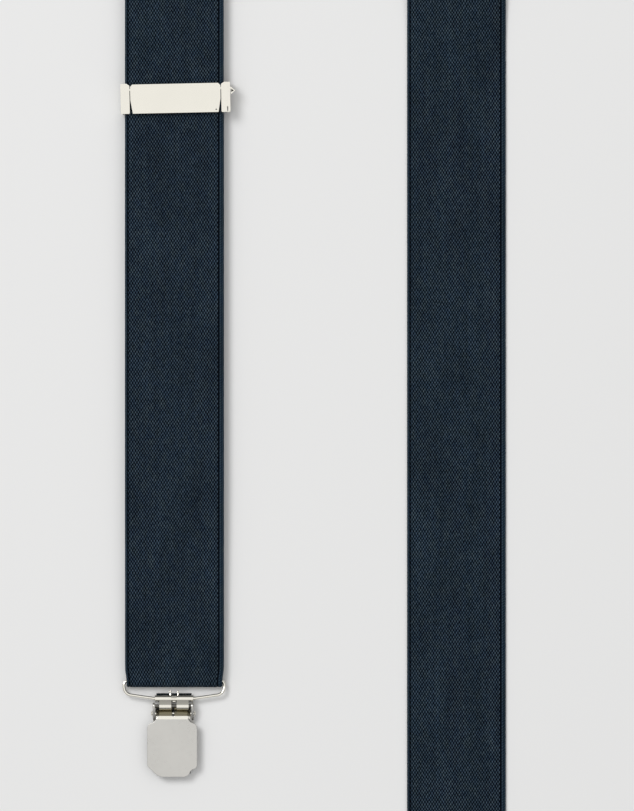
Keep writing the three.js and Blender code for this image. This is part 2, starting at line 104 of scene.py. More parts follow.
# ------------------------------------------------------------------ node helpers
class Nodes:
    def __init__(self, name):
        self.m = bpy.data.materials.new(name)
        self.m.use_nodes = True
        self.t = self.m.node_tree
        self.t.nodes.clear()
        self.out = self.t.nodes.new("ShaderNodeOutputMaterial")
        self.b = self.t.nodes.new("ShaderNodeBsdfPrincipled")
        self.t.links.new(self.b.outputs[0], self.out.inputs[0])

    def set(self, **k):
        for n, v in k.items():
            self.b.inputs[n.replace("_", " ")].default_value = v
        return self

    def _in(self, sock, v):
        if v is None:
            return
        if hasattr(v, "is_output") or isinstance(v, bpy.types.NodeSocket):
            self.t.links.new(v, sock)
        else:
            sock.default_value = v

    def math(self, op, a, b=None, c=None, clamp=False):
        n = self.t.nodes.new("ShaderNodeMath")
        n.operation = op
        n.use_clamp = clamp
        self._in(n.inputs[0], a)
        self._in(n.inputs[1], b)
        self._in(n.inputs[2], c)
        return n.outputs[0]

    def ramp(self, fac, stops, interp="LINEAR"):
        n = self.t.nodes.new("ShaderNodeValToRGB")
        n.color_ramp.interpolation = interp
        e = n.color_ramp.elements
        while len(e) < len(stops):
            e.new(0.5)
        for i, (p, c) in enumerate(stops):
            e[i].position = p
            e[i].color = (*c, 1) if len(c) == 3 else c
        self._in(n.inputs[0], fac)
        return n.outputs[0]

    def remap(self, v, a, b, c=0.0, d=1.0, kind="SMOOTHSTEP"):
        n = self.t.nodes.new("ShaderNodeMapRange")
        n.interpolation_type = kind
        self._in(n.inputs["Value"], v)
        for k, x in (("From Min", a), ("From Max", b), ("To Min", c), ("To Max", d)):
            n.inputs[k].default_value = x
        return n.outputs[0]

    def mix(self, fac, a, b, kind="MIX"):
        n = self.t.nodes.new("ShaderNodeMix")
        n.data_type = "RGBA"
        n.blend_type = kind
        self._in(n.inputs[0], fac)
        self._in(n.inputs[6], a if not isinstance(a, tuple) else (*a, 1))
        self._in(n.inputs[7], b if not isinstance(b, tuple) else (*b, 1))
        return n.outputs[2]

    def noise(self, vec, scale, detail=3, rough=0.55, dims="3D"):
        n = self.t.nodes.new("ShaderNodeTexNoise")
        n.noise_dimensions = dims
        self._in(n.inputs["Vector"], vec)
        n.inputs["Scale"].default_value = scale
        n.inputs["Detail"].default_value = detail
        n.inputs["Roughness"].default_value = rough
        return n.outputs["Fac"]

    def combine(self, x, y, z=0.0):
        n = self.t.nodes.new("ShaderNodeCombineXYZ")
        for s, v in zip(n.inputs, (x, y, z)):
            self._in(s, v)
        return n.outputs[0]

    def split(self, v):
        n = self.t.nodes.new("ShaderNodeSeparateXYZ")
        self._in(n.inputs[0], v)
        return n.outputs

    def uv(self, name="weave"):
        n = self.t.nodes.new("ShaderNodeUVMap")
        n.uv_map = name
        return n.outputs[0]

    def obj(self):
        return self.t.nodes.new("ShaderNodeTexCoord").outputs["Object"]

    def bump(self, height, distance, strength=1.0, normal=None):
        n = self.t.nodes.new("ShaderNodeBump")
        n.inputs["Strength"].default_value = strength
        n.inputs["Distance"].default_value = distance
        self._in(n.inputs["Height"], height)
        self._in(n.inputs["Normal"], normal)
        return n.outputs[0]

    def link(self, name, v):
        self._in(self.b.inputs[name], v)
        return self


# ------------------------------------------------------------------ webbing material
# Coordinates are millimetres across (U) and along (V) the webbing.
def webbing_material(name="webbing"):
    n = Nodes(name)
    s = n.split(n.uv())
    U, V = s[0], s[1]
    P, R = 1.016, 0.80
    uvv = n.combine(U, V, 0.0)
    # slow wander of the yarns, so the rows aren't ruled
    wob = n.noise(n.combine(n.math("MULTIPLY", U, 0.35), n.math("MULTIPLY", V, 0.22)), 1.0, 2)
    wob2 = n.noise(n.combine(n.math("MULTIPLY", U, 0.9), n.math("MULTIPLY", V, 0.9), 7.3), 1.0, 2)
    u = n.math("ADD", U, n.math("MULTIPLY", n.math("SUBTRACT", wob2, 0.5), 0.16))
    v = n.math("ADD", V, n.math("MULTIPLY", n.math("SUBTRACT", wob, 0.5), 1.1))
    v = n.math("ADD", v, n.math("MULTIPLY", n.math("SUBTRACT", wob2, 0.5), 0.35))
    a = n.math("COSINE", n.math("MULTIPLY", u, 2 * math.pi / P))
    b = n.math("COSINE", n.math("MULTIPLY", v, math.pi / R))
    h = n.math("MULTIPLY", a, b)                       # -1 in a hole, +1 on a grain
    # strands in each grain
    strand = n.math("SINE", n.math("MULTIPLY_ADD", u, 2 * math.pi / 0.25, n.math("MULTIPLY", v, 2.4)))
    fibre = n.noise(n.combine(n.math("MULTIPLY", u, 9.0), n.math("MULTIPLY", v, 3.0), 0.0), 1.0, 3)
    # every grain and every gap takes its own size and depth from the yarn
    lump = n.noise(n.combine(n.math("MULTIPLY", u, 1.05), n.math("MULTIPLY", v, 1.25), 4.4), 1.0, 1)
    h2 = n.math("ADD", h, n.math("MULTIPLY", n.math("SUBTRACT", lump, 0.5), 0.80))
    grain = n.remap(h2, -0.88, 0.92, 0.0, 1.0, "LINEAR")
    # selvedges: a cord on one side, a stitched groove and a narrow band on the other
    Ul = n.math("ADD", U, 16.45)
    Ur = n.math("SUBTRACT", U, 15.75)
    left_groove = n.remap(n.math("ABSOLUTE", Ul), 0.10, 0.36, 1.0, 0.0)
    right_groove = n.remap(n.math("ABSOLUTE", Ur), 0.10, 0.34, 1.0, 0.0)
    nick_l = n.remap(n.math("SINE", n.math("MULTIPLY", v, 2 * math.pi / 1.6)), -0.6, 0.7, 0.45, 1.0)
    nick_r = n.remap(n.math("SINE", n.math("MULTIPLY", v, 2 * math.pi / 1.6)), -0.9, 0.5, 0.75, 1.0)
    groove = n.math("MAXIMUM", n.math("MULTIPLY", left_groove, nick_l), n.math("MULTIPLY", right_groove, nick_r))
    on_left = n.remap(U, -16.72, -16.60, 1.0, 0.0)
    on_right = n.remap(U, 15.98, 16.10, 0.0, 1.0)
    edge = n.math("MAXIMUM", on_left, on_right)
    # left: smooth cord of steep small ribs, right: fine slanting grains
    cord = n.math("SINE", n.math("MULTIPLY_ADD", v, 2 * math.pi / 0.53, n.math("MULTIPLY", U, 3.2)))
    fine = n.math("MULTIPLY", n.math("COSINE", n.math("MULTIPLY_ADD", U, 2 * math.pi / 0.72, n.math("MULTIPLY", v, 2.6))),
                  n.math("COSINE", n.math("MULTIPLY", v, math.pi / 0.40)))
    # the right band is two fine cords side by side, each cut by its own steep ribs
    seam = n.remap(n.math("ABSOLUTE", n.math("SUBTRACT", U, 16.78)), 0.04, 0.26, 1.0, 0.0)
    ribs = n.math("SINE", n.math("MULTIPLY_ADD", v, 2 * math.pi / 0.92, n.math("MULTIPLY", U, 4.6)))
    right_h = n.math("SUBTRACT", n.math("ADD", n.math("MULTIPLY", fine, 0.45), n.math("MULTIPLY", ribs, 0.55)), n.math("MULTIPLY", seam, 0.8))
    edge_h = n.math("ADD", n.math("MULTIPLY", n.math("MULTIPLY", on_left, cord), 0.65), n.math("MULTIPLY", on_right, right_h))
    edge_g = n.remap(edge_h, -0.9, 0.9, 0.30, 0.92, "LINEAR")
    mixg = n.t.nodes.new("ShaderNodeMix")
    n._in(mixg.inputs[0], edge)
    n._in(mixg.inputs[2], grain)
    n._in(mixg.inputs[3], edge_g)
    # the grooves lower g, which sinks the bump and, through the colour ramp below, paints shade into them
    g = n.math("MULTIPLY", mixg.outputs[0], n.math("SUBTRACT", 1.0, n.math("MULTIPLY", groove, 0.9)))
    g = n.math("MULTIPLY", g, n.remap(fibre, 0.2, 0.8, 0.80, 1.12, "LINEAR"))
    # colour from the height g: the near-black holes and the darker grooves and seams are painted shade, the greyer
    # crowns a painted sheen, the navy shoulders the yarn's own colour; with mottling from the dye and the yarn
    col = n.ramp(g, [(0.0, (0.0001, 0.0003, 0.0012)), (0.22, (0.0003, 0.0014, 0.0042)), (0.40, (0.0065, 0.0150, 0.0250)), (0.56, (0.0170, 0.0300, 0.0440)), (0.78, (0.0310, 0.0490, 0.0680)), (1.0, (0.0760, 0.1040, 0.1360))])
    mott = n.noise(n.combine(n.math("MULTIPLY", U, 0.10), n.math("MULTIPLY", V, 0.035), 3.1), 1.0, 3)
    mott2 = n.noise(n.combine(n.math("MULTIPLY", U, 0.55), n.math("MULTIPLY", V, 0.30), 1.7), 1.0, 2)
    warp = n.noise(n.combine(n.math("MULTIPLY", U, 1.0), n.math("MULTIPLY", V, 0.012), 9.0), 1.0, 1)
    k = n.math("MULTIPLY", n.remap(mott, 0.25, 0.75, 0.80, 1.22, "LINEAR"), n.remap(mott2, 0.25, 0.75, 0.88, 1.12, "LINEAR"))
    k = n.math("MULTIPLY", k, n.remap(warp, 0.25, 0.75, 0.90, 1.10, "LINEAR"))
    kk = n.combine(k, k, k)
    col = n.mix(1.0, col, kk, "MULTIPLY")
    # some yarns lean blue, some grey
    tint = n.ramp(mott2, [(0.30, (0.92, 0.99, 1.10)), (0.70, (1.08, 1.02, 0.93))])
    col = n.mix(1.0, col, tint, "MULTIPLY")
    n.link("Base Color", col)
    n.link("Roughness", n.remap(g, 0.0, 1.0, 0.98, 0.78, "LINEAR"))
    n.set(Specular_IOR_Level=0.06, Sheen_Weight=0.01, Sheen_Roughness=0.5)
    n.b.inputs["Sheen Tint"].default_value = (0.45, 0.55, 0.7, 1)
    height = n.math("ADD", n.math("MULTIPLY", g, 1.0), n.math("MULTIPLY", n.math("MULTIPLY", strand, g), 0.10))
    n.link("Normal", n.bump(height, 0.00022, 0.9))
    return n.m


def nickel(name, base, rough, scratch=0.04, brushed=False, warm=0.0):
    n = Nodes(name)
    o = n.obj()
    big = n.noise(o, 55.0, 3)
    fine = n.noise(o, 900.0, 4, 0.65)
    micro = n.noise(o, 4200.0, 2)
    col = n.ramp(big, [(0.30, tuple(c * 0.965 for c in base)), (0.70, base)])
    n.link("Base Color", col)
    n.set(Metallic=1.0)
    r = n.math("ADD", n.remap(fine, 0.3, 0.7, rough * 0.85, rough * 1.2, "LINEAR"), n.remap(big, 0.3, 0.7, -0.015, 0.02, "LINEAR"))
    n.link("Roughness", r)
    if brushed:
        n.link("Normal", n.bump(n.math("ADD", n.math("MULTIPLY", big, 0.9), n.math("MULTIPLY", fine, 0.02)), 0.00003, 0.3))
    else:
        h = n.math("ADD", n.math("MULTIPLY", big, 1.0), n.math("MULTIPLY", fine, 0.06))
        n.link("Normal", n.bump(h, 0.00012, scratch * 4))
    return n.m


def leather_material(name, base):
    n = Nodes(name)
    o = n.obj()
    vor = n.t.nodes.new("ShaderNodeTexVoronoi")
    vor.feature = "DISTANCE_TO_EDGE"
    vor.inputs["Scale"].default_value = 1250.0
    n._in(vor.inputs["Vector"], o)
    cell = n.remap(vor.outputs["Distance"], 0.0, 0.16)
    pores = n.noise(o, 2600.0, 3)
    tone = n.noise(o, 60.0, 4)
    col = n.ramp(tone, [(0.25, tuple(c * 0.72 for c in base)), (0.75, tuple(c * 1.25 for c in base))])
    # painted shade: the grain creases are darkened towards 0.4 of the base colour
    col = n.mix(n.remap(cell, 0, 1, 0.35, 0.0, "LINEAR"), col, tuple(c * 0.4 for c in base))
    n.link("Base Color", col)
    n.link("Roughness", n.remap(pores, 0.3, 0.7, 0.42, 0.62, "LINEAR"))
    n.set(Specular_IOR_Level=0.45)
    h = n.math("ADD", n.math("MULTIPLY", cell, 0.8), n.math("MULTIPLY", pores, 0.25))
    n.link("Normal", n.bump(h, 0.00007, 0.8))
    return n.m


def plastic_material(name):
    n = Nodes(name)
    o = n.obj()
    f = n.noise(o, 1500.0, 3)
    t = n.noise(o, 200.0, 2)
    n.link("Base Color", n.ramp(t, [(0.3, (0.014, 0.014, 0.016)), (0.7, (0.024, 0.024, 0.027))]))
    n.link("Roughness", n.remap(f, 0.3, 0.7, 0.42, 0.60, "LINEAR"))
    n.link("Normal", n.bump(f, 0.00002, 0.5))
    return n.m


def thread_material(name, base):
    n = Nodes(name)
    s = n.split(n.uv())
    tw = n.math("SINE", n.math("MULTIPLY_ADD", s[1], 2 * math.pi / 0.32, n.math("MULTIPLY", s[0], 2 * math.pi)))
    f = n.noise(n.obj(), 5000.0, 2)
    # painted shade and highlight: the twist's grooves are darkened and its crests lightened, following the bump
    n.link("Base Color", n.ramp(n.remap(tw, -1, 1), [(0.0, tuple(c * 0.35 for c in base)), (0.6, base), (1.0, tuple(c * 1.3 for c in base))]))
    n.link("Roughness", n.remap(f, 0.3, 0.7, 0.6, 0.8, "LINEAR"))
    n.link("Normal", n.bump(tw, 0.00004, 0.7))
    return n.m


M_WEB = webbing_material()
M_POL = nickel("polished_nickel", (0.873, 0.845, 0.765), 0.10)
M_SAT = nickel("satin_nickel", (0.556, 0.545, 0.518), 0.30, brushed=True)
# painted shade: dark olive plating for the clip's recessed tail
M_PAINTED_SHADE = nickel("tail_painted_shade", (0.30, 0.27, 0.19), 0.16)
M_PIN = nickel("pin_steel", (0.17, 0.165, 0.15), 0.22)
# painted shade: near-black plating for the walls of the small pit in the adjuster cover
M_PIT_SHADE = nickel("pit_painted_shade", (0.10, 0.10, 0.09), 0.35)
M_SPR = nickel("spring_steel", (0.33, 0.33, 0.34), 0.24)
M_LEA = leather_material("yoke_leather", (0.0105, 0.0165, 0.027))
M_PLA = plastic_material("grip_plastic")
M_THR = thread_material("thread", (0.042, 0.060, 0.088))


def link_obj(name, mesh, mat):
    o = bpy.data.objects.new(name, mesh)
    bpy.context.scene.collection.objects.link(o)
    mesh.materials.clear()
    mesh.materials.append(mat)
    return o


def shade(mesh, angle=40):
    mesh.polygons.foreach_set("use_smooth", [True] * len(mesh.polygons))
    mesh.set_sharp_from_angle(angle=math.radians(angle))


# ------------------------------------------------------------------ webbing geometry
TOPLINE = [(-17.5, 0.0), (-17.46, 0.17), (-17.34, 0.33), (-17.12, 0.47), (-16.9, 0.52), (-16.7, 0.47), (-16.55, 0.38),
           (-16.45, 0.35), (-16.33, 0.40), (-16.15, 0.50), (-15.7, 0.56), (-12.0, 0.58), (-6.0, 0.585), (0.0, 0.585),
           (6.0, 0.585), (12.0, 0.58), (15.2, 0.56), (15.5, 0.49), (15.66, 0.39), (15.75, 0.35), (15.85, 0.39), (16.0, 0.48),
           (16.35, 0.54), (16.8, 0.53), (17.12, 0.46), (17.34, 0.33), (17.46, 0.17), (17.5, 0.0)]
SECTION = TOPLINE + [(u, -n) for u, n in TOPLINE[-2:0:-1]]


def ribbon(name, mapf, stations, section=SECTION, cap0=True, cap1=True, v0=0.0):
    """A band of webbing: mapf(u, s, n) gives a point in layout millimetres."""
    ns, nc = len(stations), len(section)
    verts, uvs = [], []
    for s in stations:
        for u, n in section:
            verts.append(pt(*mapf(u, s, n)))
            uvs.append((u, s + v0))
    faces, fuv = [], []
    for i in range(ns - 1):
        for j in range(nc):
            k = (j + 1) % nc
            quad = (i * nc + j, i * nc + k, (i + 1) * nc + k, (i + 1) * nc + j)
            faces.append(quad)
    if cap0:
        faces.append(tuple(range(nc - 1, -1, -1)))
    if cap1:
        faces.append(tuple((ns - 1) * nc + j for j in range(nc)))
    mesh = bpy.data.meshes.new(name)
    mesh.from_pydata(verts, [], faces)
    layer = mesh.uv_layers.new(name="weave")
    arr = np.zeros((len(mesh.loops), 2), np.float32)
    idx = np.zeros(len(mesh.loops), np.int32)
    mesh.loops.foreach_get("vertex_index", idx)
    arr[:] = np.array(uvs, np.float32)[idx]
    layer.data.foreach_set("uv", arr.ravel())
    mesh.update()
    bm = bmesh.new()
    bm.from_mesh(mesh)
    if bm.calc_volume(signed=True) < 0:
        bmesh.ops.reverse_faces(bm, faces=bm.faces)
    bm.to_mesh(mesh)
    bm.free()
    shade(mesh, 50)
    return link_obj(name, mesh, M_WEB)


def frange(a, b, step):
    n = max(1, int(round(abs(b - a) / step)))
    return [a + (b - a) * i / n for i in range(n + 1)]


class Path:
    """A centre line in (y, z) with its length; used for bands that stay in one vertical plane."""

    def __init__(self, pts):
        p = np.array(pts, float)
        keep = [0]
        for i in range(1, len(p)):
            if np.linalg.norm(p[i] - p[keep[-1]]) > 1e-6:
                keep.append(i)
        self.p = p[keep]
        self.s = np.concatenate([[0], np.cumsum(np.linalg.norm(np.diff(self.p, axis=0), axis=1))])
        self.length = self.s[-1]
        t = np.gradient(self.p, self.s, axis=0)
        self.t = t / np.linalg.norm(t, axis=1)[:, None]

    def at(self, s):
        y, z = np.interp(s, self.s, self.p[:, 0]), np.interp(s, self.s, self.p[:, 1])
        ty, tz = np.interp(s, self.s, self.t[:, 0]), np.interp(s, self.s, self.t[:, 1])
        d = math.hypot(ty, tz)
        return y, z, ty / d, tz / d


def arc2(cy_, cz, r, a0, a1, n):
    return [(cy_ + r * math.cos(math.radians(a0 + (a1 - a0) * i / n)), cz + r * math.sin(math.radians(a0 + (a1 - a0) * i / n))) for i in range(n + 1)]


def ease(y0, z0, y1, z1, n=24):
    return [(y0 + (y1 - y0) * i / n, z0 + (z1 - z0) * smooth(i / n)) for i in range(n + 1)]


TAN = math.tan(ADJ_TILT)
DRAW_IN = 0.030


def drawn(x, centre, y, turn_y):
    """The webbing draws in a little where it turns round a bail."""
    return centre + (x - centre) * (1 - DRAW_IN * smooth((turn_y + 5 - y) / 5))


def shoulder_geometry():
    R, th = SHOULDER_R, 0.35
    for _ in range(20):
        c0 = (FRONT_X - math.pi * R * math.sin(th / 2), SHOULDER_Y)
        th = math.atan2(c0[0] - YOKE_S[0], c0[1] - YOKE_S[1])
    return th, c0


TH, C0 = shoulder_geometry()
RUN = math.hypot(C0[0] - YOKE_S[0], C0[1] - YOKE_S[1])
FOLD_LEN = math.pi * SHOULDER_R / math.cos(TH / 2)


def front_z(y):
    """Centre height of a front strap's upper ply at y."""
    shoulder = LOW_Z + 2 * SHOULDER_R
    z = shoulder + (LOW_Z - shoulder) * smooth((SHOULDER_Y - y) / 120)
    z += (OVER_Z - LOW_Z) * smooth((400 - y) / 90)
    z += (TOP_Z - OVER_Z) * smooth((108 - y) / 60)
    return z


def front_map(side):
    d1, n1 = (math.sin(TH), math.cos(TH)), (math.cos(TH), -math.sin(TH))
    c, m = (math.cos(TH / 2), -math.sin(TH / 2)), (math.sin(TH / 2), math.cos(TH / 2))
    R = SHOULDER_R

    def f(u, l, n):
        uu = u * side
        ax, ay = (l - RUN) * d1[0] + uu * n1[0], (l - RUN) * d1[1] + uu * n1[1]
        a, b = ax * c[0] + ay * c[1], ax * m[0] + ay * m[1]
        if b <= 0:
            q = b
            z = LOW_Z + (2.1 - LOW_Z) * (1 - smooth((l - 24) / 24)) + n
        elif b < math.pi * R:
            g = b / R
            q = R * math.sin(g) - n * math.sin(g)
            z = LOW_Z + R * (1 - math.cos(g)) + n * math.cos(g)
        else:
            q, z = -(b - math.pi * R), None
        x, y = C0[0] + a * c[0] + q * m[0], C0[1] + a * c[1] + q * m[1]
        if z is None:
            z = front_z(y) - n
            y -= TAN * (x - FRONT_X) * smooth((300 - y) / 45) * smooth((y - 180) / 45)
        return side * x, y, z
    return f


L_DOWN0 = RUN + FOLD_LEN                     # arc length where the centre line leaves the shoulder fold
Y_DOWN0 = C0[1] - math.pi * SHOULDER_R * math.tan(TH / 2) * math.sin(TH / 2)


def l_of_y(y):
    return L_DOWN0 + (Y_DOWN0 - y)


FRONT_LEN = 0.0
pieces_web = []
for side, s in (("left", -1), ("right", 1)):
    fmap = front_map(s)
    mid = RUN + FOLD_LEN / 2
    st = frange(-8.5, 20, 4) + frange(20, 52, 2)[1:] + frange(52, RUN - 8, 6)[1:] + frange(RUN - 8, mid, 0.7)[1:]
    a = ribbon(f"{side}_shoulder_webbing", fmap, st, cap1=False)
    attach(a, "root_webbing")
    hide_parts(f"{side}_strap")

    st = frange(mid, L_DOWN0 + 6, 0.7) + frange(L_DOWN0 + 6, l_of_y(400), 6)[1:] + frange(l_of_y(400), l_of_y(310), 3)[1:] \
        + frange(l_of_y(310), l_of_y(110), 5)[1:] + frange(l_of_y(110), l_of_y(BAIL_Y + 1), 3)[1:]
    l_end = st[-1]
    turn = Path([(BAIL_Y + 1, TOP_Z)] + arc2(BAIL_Y, TURN_Z, FOLD_R, 90, 270, 40) + [(BAIL_Y + 1, LOW_Z), (45, LOW_Z)])

    def lower2(u, l, n, s=s, fmap=fmap, l_end=l_end, turn=turn):
        if l <= l_end + 1e-9:
            x, y, z = fmap(u, l, n)
            return drawn(x, s * FRONT_X, y, BAIL_Y), y, z
        y, z, ty, tz = turn.at(l - l_end)
        # travelling along (ty, tz); the side facing the wire is +n
        return drawn(s * FRONT_X + u, s * FRONT_X, y, BAIL_Y), y - tz * n, z + ty * n
    st2 = st + [l_end + v for v in frange(0, turn.length - 9, 0.35)[1:]] + [l_end + v for v in frange(turn.length - 9, turn.length, 3)[1:]]
    b = ribbon(f"{side}_front_webbing", lower2, st2, cap0=False, cap1=False)
    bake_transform(b)
    b2_len = l_end + turn.length

    back = Path([(45, LOW_Z)] + [(y, LOW_Z) for y in frange(48, RAIL_Y - 0.01, 6)] + arc2(RAIL_Y, LOW_Z + RAIL_R, RAIL_R, -90, 90, 40)
                + ease(RAIL_Y, LOW_Z + 2 * RAIL_R, RAIL_Y - 10, LOW_Z + WEB_T + 0.35, 20)[1:] + [(RAIL_Y - 15, LOW_Z + WEB_T + 0.33)])

    def back_map(u, l, n, s=s, back=back):
        y, z, ty, tz = back.at(l)
        x = u
        yy = y - tz * n
        k = TAN * -s
        return s * FRONT_X + x, yy + x * k * smooth((yy - 180) / 45), z + ty * n
    fl = back.s
    st = [0.0] + frange(3, back.length - 26, 6) + frange(back.length - 26, back.length, 0.35)[1:]
    c = ribbon(f"{side}_back_webbing", back_map, st, cap0=False, v0=b2_len)
    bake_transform(c)
    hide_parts(f"{side}_lower_strap")
    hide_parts(f"{side}_lower_strap")
    pieces_web += [a, b, c]
    FRONT_LEN = b2_len + 8.5 + back.length

# back strap: yoke, down the floor, round the rear bail and sewn back on itself
y0 = BAIL_Y + BACK_SHIFT
zc = REAR_Z - TURN_Z
low = zc - FOLD_R
bp = Path([(300.5, 2.1), (287, 2.1)] + ease(287, 2.1, 258, LOW_Z, 20)[1:] + [(y, LOW_Z) for y in frange(252, y0 + 22, 6)]
          + ease(y0 + 20, LOW_Z, y0 + 3, low, 16) + [(y0, low)] + arc2(y0, zc, FOLD_R, 270, 90, 40)[1:]
          + [(y0 + 1.5, zc + FOLD_R)] + ease(y0 + 2.5, zc + FOLD_R, y0 + 20, LOW_Z + WEB_T + 0.32, 20) + [(BACK_SPLIT_Y - 5.5, LOW_Z + WEB_T + 0.30)])


def back_strap_map(u, l, n):
    y, z, ty, tz = bp.at(l)
    return drawn(u, 0.0, y, y0), y - tz * n, z + ty * n


turn_s = bp.s[np.argmin(np.hypot(bp.p[:, 0] - y0, bp.p[:, 1] - low))]
st = frange(0, 46, 2) + frange(46, turn_s - 24, 6)[1:] + frange(turn_s - 24, turn_s, 1.5)[1:] + frange(turn_s, turn_s + 6, 0.3)[1:] + frange(turn_s + 6, bp.length, 1.5)[1:]
d = ribbon("back_webbing", back_strap_map, st)
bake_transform(d)
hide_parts("back_strap", "back_loop")
pieces_web.append(d)


# ------------------------------------------------------------------ hardware: soften the stamped edges
def refined(node, name, mat, width=0.12, segments=2, angle=28, sharp=38, clamp=True):
    src = frame["nodes"][node]
    body = src.get("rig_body") or None
    mesh = src.data.copy()
    tmp = bpy.data.objects.new("tmp", mesh)
    tmp.matrix_world = src.matrix_world.copy()
    bpy.context.scene.collection.objects.link(tmp)
    bm = bmesh.new()
    bm.from_mesh(mesh)
    bm.transform(src.matrix_world)
    bmesh.ops.remove_doubles(bm, verts=bm.verts, dist=2e-6)
    bmesh.ops.dissolve_limit(bm, angle_limit=math.radians(1.0), verts=bm.verts, edges=bm.edges)
    bm.to_mesh(mesh)
    bm.free()
    mesh.polygons.foreach_set("use_smooth", [True] * len(mesh.polygons))
    tmp.matrix_world = Matrix.Identity(4)
    mod = tmp.modifiers.new("bevel", "BEVEL")
    mod.width = width / 1000
    mod.segments = segments
    mod.limit_method = "ANGLE"
    mod.angle_limit = math.radians(angle)
    mod.use_clamp_overlap = clamp
    flat = tmp.modifiers.new("weighted", "WEIGHTED_NORMAL")
    flat.mode = "FACE_AREA"
    flat.weight = 90
    flat.keep_sharp = False
    dg = bpy.context.evaluated_depsgraph_get()
    final = bpy.data.meshes.new_from_object(tmp.evaluated_get(dg))
    bpy.data.objects.remove(tmp)
    final.name = name
    o = link_obj(name, final, mat)
    return o


def paint(o, mat, test):
    """Give a second material to the faces whose centre and normal pass the test; used for painted shade and a painted
    highlight.
    """
    o.data.materials.append(mat)
    k = len(o.data.materials) - 1
    for f in o.data.polygons:
        if test(f.center, f.normal):
            f.material_index = k


def tube(name, pts, r, sides, mat):
    p = np.array(pts, float)
    t = np.gradient(p, axis=0)
    t /= np.linalg.norm(t, axis=1)[:, None]
    nrm = np.cross(t[0], (0, 0, 1.0))
    if np.linalg.norm(nrm) < 1e-6:
        nrm = np.cross(t[0], (0, 1.0, 0))
    nrm /= np.linalg.norm(nrm)
    verts, faces = [], []
    for i in range(len(p)):
        nrm = nrm - t[i] * nrm.dot(t[i])
        nrm /= np.linalg.norm(nrm)
        bin_ = np.cross(t[i], nrm)
        for j in range(sides):
            a = 2 * math.pi * j / sides
            verts.append(pt(*(p[i] + r * (math.cos(a) * nrm + math.sin(a) * bin_))))
    for i in range(len(p) - 1):
        for j in range(sides):
            k = (j + 1) % sides
            faces.append((i * sides + j, (i + 1) * sides + j, (i + 1) * sides + k, i * sides + k))
    faces.append(tuple(range(sides)))
    faces.append(tuple((len(p) - 1) * sides + j for j in range(sides - 1, -1, -1)))
    mesh = bpy.data.meshes.new(name)
    mesh.from_pydata(verts, [], faces)
    bm = bmesh.new()
    bm.from_mesh(mesh)
    bmesh.ops.recalc_face_normals(bm, faces=bm.faces)
    bm.to_mesh(mesh)
    bm.free()
    shade(mesh, 40)
    return link_obj(name, mesh, mat)


def catmull(pts, n=12):
    p = np.array(pts, float)
    p = np.vstack([2 * p[0] - p[1], p, 2 * p[-1] - p[-2]])
    out = []
    for i in range(1, len(p) - 2):
        p0, p1, p2, p3 = p[i - 1], p[i], p[i + 1], p[i + 2]
        t0 = 0.0
        t1 = t0 + np.linalg.norm(p1 - p0) ** 0.5
        t2 = t1 + np.linalg.norm(p2 - p1) ** 0.5
        t3 = t2 + np.linalg.norm(p3 - p2) ** 0.5
        for t in np.linspace(t1, t2, n, endpoint=False):
            a1 = (t1 - t) / (t1 - t0) * p0 + (t - t0) / (t1 - t0) * p1
            a2 = (t2 - t) / (t2 - t1) * p1 + (t - t1) / (t2 - t1) * p2
            a3 = (t3 - t) / (t3 - t2) * p2 + (t - t2) / (t3 - t2) * p3
            b1 = (t2 - t) / (t2 - t0) * a1 + (t - t0) / (t2 - t0) * a2
            b2 = (t3 - t) / (t3 - t1) * a2 + (t - t1) / (t3 - t1) * a3
            out.append((t2 - t) / (t2 - t1) * b1 + (t - t1) / (t2 - t1) * b2)
    out.append(p[-2])
    return np.array(out)


def clip_point(side, x, y, z):
    """A point of the clip's own drawing, in layout millimetres."""
    if side == "back":
        return (-x, y + BACK_SHIFT, REAR_Z - z)
    s = -1 if side == "left" else 1
    return (s * (FRONT_X + 0.44) + x, y, z)


